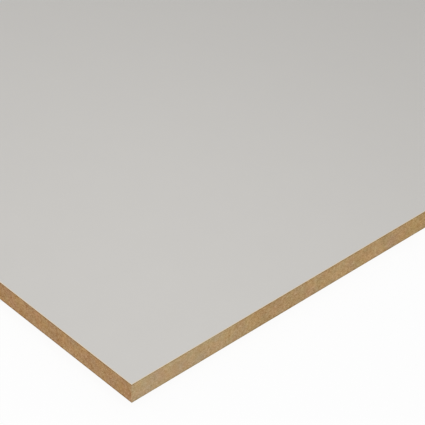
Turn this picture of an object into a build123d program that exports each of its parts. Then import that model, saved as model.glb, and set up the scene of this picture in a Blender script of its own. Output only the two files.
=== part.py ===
from build123d import *
import os

# Faced MDF panel: a fibreboard core pressed between two thin facings, then sawn square with bare edges.
# It lies flat. +X runs along its length, +Y across its width, and +Z up from the middle of its underside.

# Driving dimensions, in millimetres
LENGTH = 1220.0  # along X
WIDTH = 610.0  # along Y
THICKNESS = 18.0  # over both facings
FACING_THICKNESS = 0.2  # one sheet of resin-filled decor paper after pressing

CORE_THICKNESS = THICKNESS - 2 * FACING_THICKNESS

# Plies from the underside up: the node's name and its thickness
PLIES = (
    ("back_facing", FACING_THICKNESS),
    ("mdf_core", CORE_THICKNESS),
    ("top_facing", FACING_THICKNESS),
)


def sawn_outline(level):
    """The panel's outline at a height. One saw cut trims every ply, so they all share it."""
    return Plane.XY.offset(level) * Rectangle(LENGTH, WIDTH)


def stack_plies():
    """Each ply as a solid, bedded on the one under it, by its node's name."""
    solids = {}
    level = 0.0
    for name, thickness in PLIES:
        solids[name] = extrude(sawn_outline(level), thickness)
        solids[name].label = name
        level += thickness
    return solids


os.makedirs("parts", exist_ok=True)
for name, solid in stack_plies().items():
    export_step(solid, f"parts/{name}.step")
    print(f"{name}: {solid.volume:.0f} mm3, top at {solid.bounding_box().max.Z:.2f} mm")
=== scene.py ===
# %% [markdown]
# # A faced MDF panel
# MDF is wood fibre and glue, pressed into a flat board. This board has a light grey facing pressed on each
# side. A saw has trimmed it square, so its four edges show the bare brown fibre.
#
# The size and the three plies come from a CAD model, and they stay as they are. This lesson dresses them: a
# sawn surface for the core, a finish for the fibre and one for the facings, then a floor, some light and a
# camera.

# %% Load the plies
import bpy
import numpy as np
from mathutils import Matrix, Vector


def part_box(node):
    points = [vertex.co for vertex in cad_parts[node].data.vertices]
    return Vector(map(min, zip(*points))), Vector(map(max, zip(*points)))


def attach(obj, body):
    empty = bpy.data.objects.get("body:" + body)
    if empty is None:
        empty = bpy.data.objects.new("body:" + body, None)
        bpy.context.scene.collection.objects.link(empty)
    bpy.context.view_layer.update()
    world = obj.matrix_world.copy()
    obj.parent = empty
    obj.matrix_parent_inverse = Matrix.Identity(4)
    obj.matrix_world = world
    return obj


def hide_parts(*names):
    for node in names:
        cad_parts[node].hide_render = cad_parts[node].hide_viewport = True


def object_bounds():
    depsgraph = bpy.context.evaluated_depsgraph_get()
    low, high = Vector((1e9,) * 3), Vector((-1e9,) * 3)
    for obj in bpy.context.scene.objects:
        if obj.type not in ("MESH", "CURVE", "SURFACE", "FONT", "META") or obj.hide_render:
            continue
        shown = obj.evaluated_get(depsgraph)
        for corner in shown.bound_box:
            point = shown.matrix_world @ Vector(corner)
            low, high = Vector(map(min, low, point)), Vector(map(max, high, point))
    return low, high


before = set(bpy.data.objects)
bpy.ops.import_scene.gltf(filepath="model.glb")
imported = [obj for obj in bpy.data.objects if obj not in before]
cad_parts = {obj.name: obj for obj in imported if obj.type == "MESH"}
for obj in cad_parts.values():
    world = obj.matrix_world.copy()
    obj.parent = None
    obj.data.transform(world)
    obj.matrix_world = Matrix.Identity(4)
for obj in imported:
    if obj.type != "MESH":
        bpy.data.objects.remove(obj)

MM = 0.001  # Blender works in metres
cad_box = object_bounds()
core_low, core_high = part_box("mdf_core")
print("plies:", sorted(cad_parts))
print("panel, mm:", [round(side / MM, 2) for side in cad_box[1] - cad_box[0]])

# %% [markdown]
# ## The sawn core
# The core shows only at its edges, where a circular saw went through. The real edge is flat and its corners
# are sharp, but it isn't a perfect plane: the blade leaves shallow curved marks, and fibres lift and tear a
# little.
#
# A box with a bump map would do from far away. Here the edge is a real surface: an upright profile carried
# round the panel's outline, and pushed in by a few hundredths of a millimetre. It is pushed in and never out,
# so the panel keeps the CAD model's size. The depth fades to nothing at the corners and at the facings, which
# stay crisp.

# %% The outline that the profile follows
COLUMN_STEP = 1.0 * MM  # between two places on the outline
CORNER_FADE = 2.0 * MM  # the marks die away this far from a corner


def smooth_step(value):
    """0 below 0, 1 above 1, and an S-shaped curve between: three squares less two cubes."""
    inside = np.clip(value, 0.0, 1.0)
    return inside * inside * (3.0 - 2.0 * inside)


def follow_outline(low, high, step):
    """Walk the rectangle's four sides anticlockwise from the front left corner, in equal steps on each side.

    Gives each place's point, the way out of the board there, the distance walked, and a fade, 0 at corners.
    """
    corners = np.array([(low.x, low.y), (high.x, low.y), (high.x, high.y), (low.x, high.y)])
    points, outward, fades = [], [], []
    for here, there in zip(corners, np.roll(corners, -1, axis=0)):
        length = np.linalg.norm(there - here)
        share = np.arange(round(length / step)) / round(length / step)
        heading = (there - here) / length
        points.append(here + share[:, None] * (there - here))
        outward.append(np.tile((heading[1], -heading[0]), (len(share), 1)))
        fades.append(smooth_step(np.minimum(share, 1.0 - share) * length / CORNER_FADE))
    points = np.concatenate(points)
    walked = np.concatenate([[0.0], np.cumsum(np.linalg.norm(np.diff(points, axis=0), axis=1))])
    return points, np.concatenate(outward), walked, np.concatenate(fades)


points, outward, walked, corner_fade = follow_outline(core_low, core_high, COLUMN_STEP)
print("outline:", len(points), "places over", round(walked[-1], 3), "m")

# %% How deep the saw goes
ROW_COUNT = 18  # rows of faces up the edge
SAW_DEPTH = 0.03 * MM
BLADE_RADIUS = 150 * MM
BLADE_CENTRE = -122 * MM  # the blade's axle is under the table, so its teeth cross the edge on a slant
TOOTH_PITCH = 7 * MM
FEED_DRIFTS = ((0.3, 41 * MM), (0.2, 17 * MM))  # each one's share of the pitch, and its wavelength over 2 pi


def saw_marks(along, height):
    """Arcs of the blade's radius, side by side, drifting where the feed isn't even.

    A raised cosine of the distance along the edge plus the arc's reach there, which is the root of the
    radius squared less the height over the axle squared.
    """
    reach = np.sqrt(BLADE_RADIUS**2 - (height - BLADE_CENTRE) ** 2)
    drift = sum(share * np.sin(along / wave) for share, wave in FEED_DRIFTS)
    return 0.5 + 0.5 * np.cos(2 * np.pi * ((along + reach) / TOOTH_PITCH + drift))


heights = np.linspace(core_low.z, core_high.z, ROW_COUNT + 1)
saw_relief = SAW_DEPTH * saw_marks(walked[:, None], heights)
print("saw marks:", round(walked[-1] / TOOTH_PITCH), "arcs, mm deep:", round(saw_relief.max() / MM, 3))

# %% How deep the fibres go
FIBRE_DEPTH = 0.05 * MM
FIBRE_WAVES = 48
SHORTEST_WAVE = 3 * MM
LONGEST_WAVE = 12 * MM
BORDER_FADE = 1.2 * MM  # the marks die away this far from a facing
SEED = 18


def lifted_fibres(along, height):
    """A random field from 0 to 1: cosine waves, each with its own length, heading and start, added up.

    The sum is divided by three times the root of the number of waves, so that few places reach 0 or 1.
    """
    draw = np.random.default_rng(SEED)
    number = 2 * np.pi / draw.uniform(SHORTEST_WAVE, LONGEST_WAVE, FIBRE_WAVES)
    heading = draw.uniform(0, 2 * np.pi, FIBRE_WAVES)
    start = draw.uniform(0, 2 * np.pi, FIBRE_WAVES)
    across = height[..., None] * number * np.sin(heading)
    total = np.cos(along[..., None] * number * np.cos(heading) + across + start).sum(axis=-1)
    return np.clip(0.5 + total / (3 * np.sqrt(FIBRE_WAVES)), 0.0, 1.0)


border_fade = smooth_step(np.minimum(heights - core_low.z, core_high.z - heights) / BORDER_FADE)
depth = saw_relief + FIBRE_DEPTH * lifted_fibres(walked[:, None], heights)
depth = depth * corner_fade[:, None] * border_fade
print("relief, mm: mean", round(depth.mean() / MM, 4), "deepest", round(depth.max() / MM, 4))

# %% The core's mesh
SHARP_ANGLE = np.radians(40)  # the board's arrises stay sharp, and the marks stay smooth

column_count = len(points)
grid = np.empty((column_count, ROW_COUNT + 1, 3))
grid[:, :, :2] = points[:, None, :] - depth[:, :, None] * outward[:, None, :]
grid[:, :, 2] = heights
middle = 0.5 * (core_low + core_high)
centres = [(middle.x, middle.y, core_low.z), (middle.x, middle.y, core_high.z)]
vertices = np.concatenate([grid.reshape(-1, 3), centres])

# Vertex numbers on the grid, with the first column again after the last, so that the wall closes
number = np.arange(column_count * (ROW_COUNT + 1)).reshape(column_count, ROW_COUNT + 1)
number = np.concatenate([number, number[:1]])
wall = np.stack([number[:-1, :-1], number[1:, :-1], number[1:, 1:], number[:-1, 1:]], axis=-1).reshape(-1, 4)

# Each broad side is a fan round its centre: one face with thousands of corners would be cut into slivers
underside_centre, top_centre = len(vertices) - 2, len(vertices) - 1
underside = np.stack([number[1:, 0], number[:-1, 0], np.full(column_count, underside_centre)], axis=-1)
top = np.stack([number[:-1, -1], number[1:, -1], np.full(column_count, top_centre)], axis=-1)

mesh = bpy.data.meshes.new("sawn_core")
mesh.from_pydata(vertices, [], [*wall.tolist(), *underside.tolist(), *top.tolist()])
mesh.shade_smooth()
mesh.set_sharp_from_angle(angle=SHARP_ANGLE)
core = bpy.data.objects.new("sawn_core", mesh)
bpy.context.scene.collection.objects.link(core)
mesh.calc_loop_triangles()
print("core:", len(mesh.vertices), "vertices,", len(mesh.loop_triangles), "triangles")

# %% [markdown]
# ## A flat map for the edge
# Where a finish is baked into a picture, the picture's pixels go where the UV map sends them. An automatic
# map would give nearly all of them to the two broad sides, which the facings hide, and few to the edge.
#
# So the edge is laid out like lines of text: the ribbon is cut into equal lengths, stacked one above the
# other. The two hidden sides share one line at the end.

# %% Lay the edge out in lines
LINE_COUNT = 14
LINE_PITCH = 1.0 / (LINE_COUNT + 1)
LINE_GAP = 0.006  # between two lines, as a share of the picture
SIDE_GAP = 0.004  # at both ends of a line

per_line = -(-column_count // LINE_COUNT)  # rounded up
line, place_in_line = np.divmod(np.arange(column_count), per_line)
left = SIDE_GAP + place_in_line * (1.0 - 2 * SIDE_GAP) / per_line
right = SIDE_GAP + (place_in_line + 1) * (1.0 - 2 * SIDE_GAP) / per_line
row_places = np.linspace(0.5 * LINE_GAP, LINE_PITCH - 0.5 * LINE_GAP, ROW_COUNT + 1)
bottom = line[:, None] * LINE_PITCH + row_places[:-1]
over = line[:, None] * LINE_PITCH + row_places[1:]
left = np.broadcast_to(left[:, None], bottom.shape)
right = np.broadcast_to(right[:, None], bottom.shape)
wall_map = np.stack([left, bottom, right, bottom, right, over, left, over], axis=-1).reshape(-1, 2)
print("map:", LINE_COUNT, "lines of", round(per_line * COLUMN_STEP / MM), "mm")

# %% Lay the hidden sides out in the last line
SIDE_SPAN = 0.48  # each takes nearly half of the line
UNDERSIDE_START = 0.01
TOP_START = 0.51


def side_map(fan, start):
    """A hidden side seen from above, squeezed into half of the last line: its corner goes to start."""
    share = (vertices[fan.ravel(), :2] - points.min(axis=0)) / np.ptp(points, axis=0)
    return np.array((start, 1.0 - LINE_PITCH + LINE_GAP)) + share * (SIDE_SPAN, LINE_PITCH - 2 * LINE_GAP)


side_maps = [side_map(underside, UNDERSIDE_START), side_map(top, TOP_START)]
corner_places = np.concatenate([wall_map, *side_maps])
mesh.uv_layers.new(name="OFBake").data.foreach_set("uv", corner_places.ravel())
print("map:", len(corner_places), "corners of faces placed")

# %% [markdown]
# ## Sums for shaders
# A finish is a graph of nodes: patterns go in, numbers are added and multiplied, and the shader reads the
# result. Wired one at a time, the Math nodes hide the sum that they work out. So one small class wraps a
# socket, and Python's own signs add the nodes: 1 - mask is a Math node set to subtract.

# %% A socket that can be added and multiplied
class Wire:
    """One output of a shader node, or a bare tree to start from."""

    def __init__(self, tree, socket=None):
        self.tree = tree
        self.socket = socket

    def node(self, kind, settings, inputs, output=0):
        """Add a node: its settings are set first, then each input gets its value or its wire."""
        made = self.tree.nodes.new("ShaderNode" + kind)
        for name, value in settings.items():
            setattr(made, name, value)
        for name, value in inputs.items():
            if isinstance(value, Wire):
                self.tree.links.new(value.socket, made.inputs[name])
            else:
                made.inputs[name].default_value = value
        return Wire(self.tree, made.outputs[output] if made.outputs else None)

    def math(self, operation, first, second):
        """One Math node on two numbers or wires."""
        return self.node("Math", {"operation": operation}, {0: first, 1: second})

    def __add__(self, other):
        return self.math("ADD", self, other)

    def __sub__(self, other):
        return self.math("SUBTRACT", self, other)

    def __rsub__(self, other):
        return self.math("SUBTRACT", other, self)

    def __mul__(self, other):
        return self.math("MULTIPLY", self, other)

    def __abs__(self):
        return self.math("ABSOLUTE", self, 0.0)

    __radd__ = __add__
    __rmul__ = __mul__

    def rise(self, none_at, full_at):
        """0 up to none_at, 1 from full_at on, and a smooth climb between. Either may be the larger."""
        limits = {"Value": self, "From Min": none_at, "From Max": full_at}
        return self.node("MapRange", {"interpolation_type": "SMOOTHSTEP"}, limits)

    def blend(self, under, over):
        """The colour under where this wire is 0, and the colour over where it is 1."""
        return self.node("Mix", {"data_type": "RGBA"}, {0: self, 6: under, 7: over}, 2)

    def times(self, tint):
        """This colour multiplied by another."""
        multiply = {"data_type": "RGBA", "blend_type": "MULTIPLY"}
        return self.node("Mix", multiply, {0: 1.0, 6: self, 7: tint}, 2)

    def axis(self, letter):
        """One of the three numbers in this vector: X, Y or Z."""
        return self.node("SeparateXYZ", {}, {"Vector": self}, letter)


print("a wire can:", sorted(name for name in vars(Wire) if not name.startswith("_")))

# %% A finish to start from, and a pattern for it
PATTERN_TURN = 0.6  # radians about Z: noise is flattest on planes of its own lattice, so no edge lies on one


def start_finish(name):
    """An empty material, and a bare wire that adds nodes to it."""
    material = bpy.data.materials.new(name)
    material.use_nodes = True
    material.node_tree.nodes.clear()
    return material, Wire(material.node_tree)


def mottle(place, size, octaves, stretch=(1.0, 1.0, 1.0), shift=(0.0, 0.0, 0.0)):
    """A soft random pattern about 0, with blobs of that size in metres.

    Stretch above 1 packs it closer that way, and shift picks another part of the endless pattern.
    """
    turn = (0.0, 0.0, PATTERN_TURN)
    spot = place.node("Mapping", {}, {"Vector": place, "Location": shift, "Rotation": turn, "Scale": stretch})
    pattern = place.node("TexNoise", {}, {"Vector": spot, "Scale": 1.0 / size, "Detail": octaves})
    return pattern - 0.5


fibreboard, start = start_finish("sawn_fibreboard")
place = start.node("TexCoord", {}, {}, "Object")
normal = start.node("NewGeometry", {}, {}, "Normal")
print("started:", fibreboard.name)

# %% [markdown]
# ## Sawn fibreboard
# A saw opens the fibre mat, and each cut fibre end is a speck lighter or darker than its neighbour. The mat
# was laid flat before it was pressed, so fibres that run along the cut show as short level dashes, and some
# stick together in clumps. Wood from many trees goes in, so the tone also wanders in clouds of a centimetre
# or more.
#
# A picture of a board could be laid along the edge, but it would show a seam at each corner and repeat on the
# long sides. A solid pattern on Object coordinates passes round the corners as the real mat does. Five sizes
# of noise are added up, because one size alone looks like cork up close or like plain paint from afar.

# %% The fibre's grain
SPECK = 0.5 * MM
FIBRE = 2.0 * MM
CLUMP = 2.6 * MM
CLOUD = 14 * MM
WANDER = 90 * MM
FLAT_FIBRE = (1.0, 1.0, 4.0)  # packs the pattern four times closer in height, so that its dashes lie level

specks = mottle(place, SPECK, 1.0)
fibres = mottle(place, FIBRE, 2.0, stretch=FLAT_FIBRE, shift=(0.7, 0.8, 0.5))
clumps = mottle(place, CLUMP, 1.0, shift=(0.3, 0.1, 0.7))
clouds = mottle(place, CLOUD, 2.0, shift=(0.851, 0.131, 0.869))
wander = mottle(place, WANDER, 1.0, shift=(0.737, 0.780, 0.905))

# The factors say how far each pattern moves the tone, from the finest to the broadest
grain = 1.9 * specks + 1.45 * fibres + 0.6 * clumps + 0.38 * clouds + 0.2 * wander
print("grain:", len(fibreboard.node_tree.nodes), "nodes so far")

# %% [markdown]
# ## Skin and dust
# The press packs the outer skin hardest, and it is a thin darker line under each facing, bruised here and
# there. The front edge is paler and greyer for a hand's width from its left corner, and some of its grain is
# hidden there. The broad sides, under the facings, were pressed and not sawn, so they have no grain at all.
#
# These could be painted on by hand. Masks worked out from the height, the place along the edge and the way
# that a face looks stay true when the board's size changes.

# %% Where the tone differs
LOOKS_ALONG = (0.4, 0.6)  # a face comes to look along an axis as this much of its normal turns to it
SKIN = 1.5 * MM  # the hard-pressed layer under a facing
SKIN_TONE = 0.4  # how far the skin moves the tone
BRUISE = 5 * MM
PALER_STRETCH_LENGTH = 140 * MM  # the pale part of the front edge, which fades over its second half
PALER_GRAIN_HIDDEN = 0.3  # the share of the grain that is hidden on the paler stretch
TONE_ENDS = (-0.3, 1.3)  # the tone bends gently to both ends, where a hard stop would leave flat patches

height = place.axis("Z")
skin = height.rise(core_low.z + SKIN, core_low.z) + height.rise(core_high.z - SKIN, core_high.z)
bruises = mottle(place, BRUISE, 1.0, shift=(0.9, 0.7, 0.2))
on_front = (-1.0 * normal.axis("Y")).rise(*LOOKS_ALONG)
# The front edge is paler and greyer from its left corner: fully for half the stretch, fading out over the
# rest
paler_stretch = on_front * place.axis("X").rise(core_low.x + PALER_STRETCH_LENGTH, core_low.x + 0.5 * PALER_STRETCH_LENGTH)
sawn = 1.0 - abs(normal.axis("Z")).rise(*LOOKS_ALONG)
swing = sawn * (1.0 - PALER_GRAIN_HIDDEN * paler_stretch) * (grain - (SKIN_TONE + bruises) * skin)
tone = (0.5 + swing).rise(*TONE_ENDS)
print("tone:", len(fibreboard.node_tree.nodes), "nodes so far")

# %% [markdown]
# ## The fibre's colours
# Fibre goes from a dark resin brown to a pale straw. The two ends are a little redder than the long edges.
# Over that the hue swings from red to olive and from gold to ashen, as the wood's kind and the glue vary.
#
# One ramp from dark to pale would make the edge look tinted with a single dye. So the tone picks a colour
# between two browns, and two broader patterns then multiply it by soft tints.

# %% From tone to colour
DARK_FIBRE = (0.234, 0.113, 0.019, 1.0)
PALE_FIBRE = (0.565, 0.400, 0.218, 1.0)
DARK_END_FIBRE = (0.216, 0.080, 0.006, 1.0)
PALE_END_FIBRE = (0.561, 0.366, 0.191, 1.0)
OLIVE = (0.947, 1.033, 1.045, 1.0)
RUSSET = (1.053, 0.967, 0.955, 1.0)
GOLD = (1.045, 1.025, 0.890, 1.0)
ASH = (0.955, 0.975, 1.110, 1.0)
CLEAN = (1.0, 1.0, 1.0, 1.0)
PRESSED = (0.940, 1.030, 1.100, 1.0)
# Paler and greyer, for the stretch of the front edge near its left corner
PALER_TINT = (1.075, 1.150, 1.270, 1.0)
HUE_PATCH = 9 * MM
HUE_SWING = 1.8
ASH_PATCH = 16 * MM
ASH_SWING = 2.6

hue = mottle(place, HUE_PATCH, 2.0, shift=(0.140, 0.709, 0.251))
ash = mottle(place, ASH_PATCH, 2.0, shift=(0.668, 0.142, 0.652))
on_end = abs(normal.axis("X")).rise(*LOOKS_ALONG)
fibre = on_end.blend(tone.blend(DARK_FIBRE, PALE_FIBRE), tone.blend(DARK_END_FIBRE, PALE_END_FIBRE))
colour = fibre.times((0.5 + HUE_SWING * sawn * hue).blend(OLIVE, RUSSET))
colour = colour.times((0.5 + ASH_SWING * sawn * ash).blend(GOLD, ASH))
colour = colour.times((sawn * skin).blend(CLEAN, PRESSED))
colour = colour.times(paler_stretch.blend(CLEAN, PALER_TINT))
print("colour:", len(fibreboard.node_tree.nodes), "nodes so far")

# %% The fibre's shader
LIFT = 0.12 * MM  # how far the finest fibres stand up
LIFT_STRENGTH = 0.4
ROUGH = 0.9
ROUGH_SWING = 0.2
DULL = 0.25  # raw fibre has half the sheen of a common plastic

lift = start.node("Bump", {}, {"Strength": LIFT_STRENGTH, "Distance": LIFT, "Height": specks + fibres})
shader = start.node(
    "BsdfPrincipled",
    {},
    {
        "Base Color": colour,
        "Roughness": ROUGH + ROUGH_SWING * specks,
        "Specular IOR Level": DULL,
        "Normal": lift,
    },
)
start.node("OutputMaterial", {}, {"Surface": shader})
mesh.materials.append(fibreboard)
print("fibreboard:", len(fibreboard.node_tree.nodes), "nodes")

# %% [markdown]
# ## The grey facing
# The facing is decor paper soaked in melamine resin and pressed against a polished plate. It is an even, warm
# light grey with a satin surface. Up close it has a fine pearl from the plate and a faint cloud from the
# paper. Along its rim the saw rubs the print thin, and the cream of the paper shows as a hairline.
#
# A flat grey would do from afar, but it looks like plastic up close, so colour, roughness and relief all vary
# a little. The rim could be a strip of its own faces. The CAD mesh stays as it is, so the distance to the
# nearest side marks the rim instead.

# %% The facing's pattern
GREY_DEEP = (0.560, 0.545, 0.520, 1.0)
GREY_LIGHT = (0.600, 0.585, 0.560, 1.0)
RUBBED_PAPER = (0.72, 0.61, 0.45, 1.0)
CUT_PAPER = (0.46, 0.33, 0.20, 1.0)
RIM = 1.1 * MM  # the rubbed band, from the saw cut inwards
PAPER_CLOUD = 30 * MM
PAPER_TONE = 0.4
PEARL = 2.2 * MM
PEARL_TONE = 0.2

facing, start = start_finish("grey_decor_facing")
place = start.node("TexCoord", {}, {}, "Object")
normal = start.node("NewGeometry", {}, {}, "Normal")
paper = mottle(place, PAPER_CLOUD, 3.0)
pearl = mottle(place, PEARL, 1.0, shift=(0.5, 0.3, 0.0))

face = (0.5 + PAPER_TONE * paper + PEARL_TONE * pearl).blend(GREY_DEEP, GREY_LIGHT)
from_end = cad_box[1].x - abs(place.axis("X"))
from_side = cad_box[1].y - abs(place.axis("Y"))
rubbed = start.math("MINIMUM", from_end, from_side).rise(RIM, 0.0)
cut = 1.0 - abs(normal.axis("Z")).rise(*LOOKS_ALONG)
print("facing:", len(facing.node_tree.nodes), "nodes so far")

# %% The facing's shader
SATIN = 0.44
PAPER_ROUGHNESS = 0.15
PEARL_ROUGHNESS = 0.08
PEARL_HEIGHT = 0.03 * MM
PEARL_STRENGTH = 0.25

lift = start.node("Bump", {}, {"Strength": PEARL_STRENGTH, "Distance": PEARL_HEIGHT, "Height": pearl})
shader = start.node(
    "BsdfPrincipled",
    {},
    {
        "Base Color": cut.blend(rubbed.blend(face, RUBBED_PAPER), CUT_PAPER),
        "Roughness": SATIN + PAPER_ROUGHNESS * paper + PEARL_ROUGHNESS * pearl,
        "Normal": lift,
    },
)
start.node("OutputMaterial", {}, {"Surface": shader})
print("facing:", len(facing.node_tree.nodes), "nodes")

# %% [markdown]
# ## Dress the plies
# The two facings are sheets pressed flat, so their CAD shape is right and only their material changes.
# Linking the slot to the object, and not to its mesh, leaves the CAD mesh untouched. The sawn core takes the
# place of the plain one, which is hidden.

# %% Put the finishes on
for name in ("top_facing", "back_facing"):
    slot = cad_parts[name].material_slots[0]
    slot.link = "OBJECT"
    slot.material = facing

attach(core, "root")
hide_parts("mdf_core")

# %% [markdown]
# ## A white floor
# The panel lies on a plain floor that fades into white. A floor bright enough to look white would need strong
# lamps, and they would wash out the panel. So the floor glows, but only for rays that come from the camera or
# from a glossy or clear surface. The rest of its brightness is plain diffuse white, which keeps the panel's
# soft shadow.
#
# Seen from under the floor it is clear, so that the underside can be looked at too.

# %% Make the floor
FLOOR_RADIUS = 40.0  # metres, so that its rim is out of sight
FLOOR_CORNERS = 96
FLOOR_DROP = 0.05 * MM  # keeps the floor from sharing the underside's plane

turn = np.linspace(0, 2 * np.pi, FLOOR_CORNERS, endpoint=False)
rim = FLOOR_RADIUS * np.stack([np.cos(turn), np.sin(turn), np.zeros_like(turn)], axis=-1)
floor_mesh = bpy.data.meshes.new("floor")
floor_mesh.from_pydata(rim - (0.0, 0.0, FLOOR_DROP), [], [list(range(FLOOR_CORNERS))])
floor = bpy.data.objects.new("floor", floor_mesh)
bpy.context.scene.collection.objects.link(floor)

# The world gives the light from below, so that light has to pass through the floor
floor.visible_diffuse = False
floor.visible_shadow = False
print("floor: radius", FLOOR_RADIUS, "m")

# %% The floor's finish
GLOW = 0.995  # just under white
GLOW_SHARE = 0.93  # the rest is matte and takes the shadow
MATTE_WHITE = (0.9, 0.9, 0.9, 1.0)


def looked_at(start):
    """1 on a ray from the camera or from a glossy or clear surface, and 0 on the others."""
    kinds = ("Is Camera Ray", "Is Glossy Ray", "Is Transmission Ray")
    camera, glossy, clear = (start.node("LightPath", {}, {}, kind) for kind in kinds)
    return start.node("Clamp", {}, {"Value": camera + glossy + clear})


white, start = start_finish("white_floor")
matte = start.node("BsdfDiffuse", {}, {"Color": MATTE_WHITE})
glow = start.node("Emission", {}, {"Strength": GLOW})
lit = start.node("MixShader", {}, {0: GLOW_SHARE * looked_at(start), 1: matte, 2: glow})
behind = start.node("NewGeometry", {}, {}, "Backfacing")
clear = start.node("BsdfTransparent", {}, {})
start.node("OutputMaterial", {}, {"Surface": start.node("MixShader", {}, {0: behind, 1: lit, 2: clear})})
floor_mesh.materials.append(white)
print("floor:", len(white.node_tree.nodes), "nodes")

# %% [markdown]
# ## Soft studio light
# A board like this is pictured in a bright white studio, with soft light from all round. Each softbox could
# be a lamp, but several lamps are hard to balance. So the world is the studio: soft light from above, the
# pale floor's light from below, and a little more from the front, where the camera stands.
#
# One broad lamp hangs over the panel and leans towards the near corner, so the face is brightest there and
# falls off towards the far end. Together they come to about 1, at which a colour renders as it is written.

# %% The studio's world
FROM_ABOVE = 0.735
FROM_BELOW = 1.06
FROM_FRONT = 0.12
FRONT = Vector((-0.62, -0.78, 0.0)).normalized()
HORIZON = 0.05  # half the height of the band where above and below meet
WHITE = (1.0, 1.0, 1.0, 1.0)

studio = bpy.data.worlds.new("studio")
studio.use_nodes = True
studio.node_tree.nodes.clear()
start = Wire(studio.node_tree)
way = start.node("TexCoord", {}, {}, "Generated")
upward = way.axis("Z").rise(-HORIZON, HORIZON)
forward = way.axis("X") * FRONT.x + way.axis("Y") * FRONT.y
level = FROM_BELOW + (FROM_ABOVE - FROM_BELOW) * upward + FROM_FRONT * forward
seen = looked_at(start)
sky = start.node("Background", {}, {"Color": WHITE, "Strength": seen * GLOW + (1.0 - seen) * level})
start.node("OutputWorld", {}, {"Surface": sky})
bpy.context.scene.world = studio
print("studio:", len(studio.node_tree.nodes), "nodes")

# %% The lamp
LAMP_SIZE = 0.40  # metres across
LAMP_POWER = 1.96  # watts
LAMP_FROM_CORNER = Vector((0.218, 0.156, 0.740))  # from the near corner of the top
LAMP_AIM = Vector((-1.5, -0.675, -1.0))

near_corner = Vector((cad_box[0].x, cad_box[0].y, 0.0))
lamp = bpy.data.objects.new("lamp", bpy.data.lights.new("lamp", "AREA"))
lamp.data.shape = "DISK"
lamp.data.size = LAMP_SIZE
lamp.data.energy = LAMP_POWER
lamp.location = near_corner + Vector((0.0, 0.0, cad_box[1].z)) + LAMP_FROM_CORNER
lamp.rotation_euler = LAMP_AIM.to_track_quat("-Z", "Y").to_euler()
lamp.visible_camera = False
bpy.context.scene.collection.objects.link(lamp)
print("lamp at", [round(v, 3) for v in lamp.location])

# %% [markdown]
# ## The camera
# The picture looks down on the panel's near corner through a long lens, so the sides hardly converge. A
# camera can be set by eye, one slider at a time. Here its place and angles came from fitting the four
# outlines that meet at that corner, which is steadier, because each angle moves all four lines at once.

# %% Set up the camera
AZIMUTH = np.radians(-43.33)  # 0 looks along +Y
ELEVATION = np.radians(37.839)
ROLL = np.radians(1.362)
SENSOR = 36.0  # millimetres wide
LENS = 177.23  # millimetres
CORNER_TO_CAMERA = Vector((-732.7, -858.4, 1054.4)) * MM  # from the near corner of the underside

level_back = Vector((np.sin(AZIMUTH), -np.cos(AZIMUTH), 0.0))
level_right = Vector((np.cos(AZIMUTH), np.sin(AZIMUTH), 0.0))
back = level_back * np.cos(ELEVATION) + Vector((0.0, 0.0, np.sin(ELEVATION)))
level_up = back.cross(level_right)
right_way = level_right * np.cos(ROLL) + level_up * np.sin(ROLL)
up_way = level_up * np.cos(ROLL) - level_right * np.sin(ROLL)
turned = Matrix((right_way, up_way, back)).transposed().to_4x4()

camera = bpy.data.objects.new("camera", bpy.data.cameras.new("camera"))
camera.data.lens = LENS
camera.data.sensor_width = SENSOR
camera.matrix_world = Matrix.Translation(near_corner + CORNER_TO_CAMERA) @ turned
bpy.context.scene.collection.objects.link(camera)
bpy.context.scene.camera = camera
bpy.context.scene.view_settings.view_transform = "Standard"
print("camera at", [round(v, 3) for v in camera.location])

# %% [markdown]
# The dressed panel has to stay inside the CAD model's box.
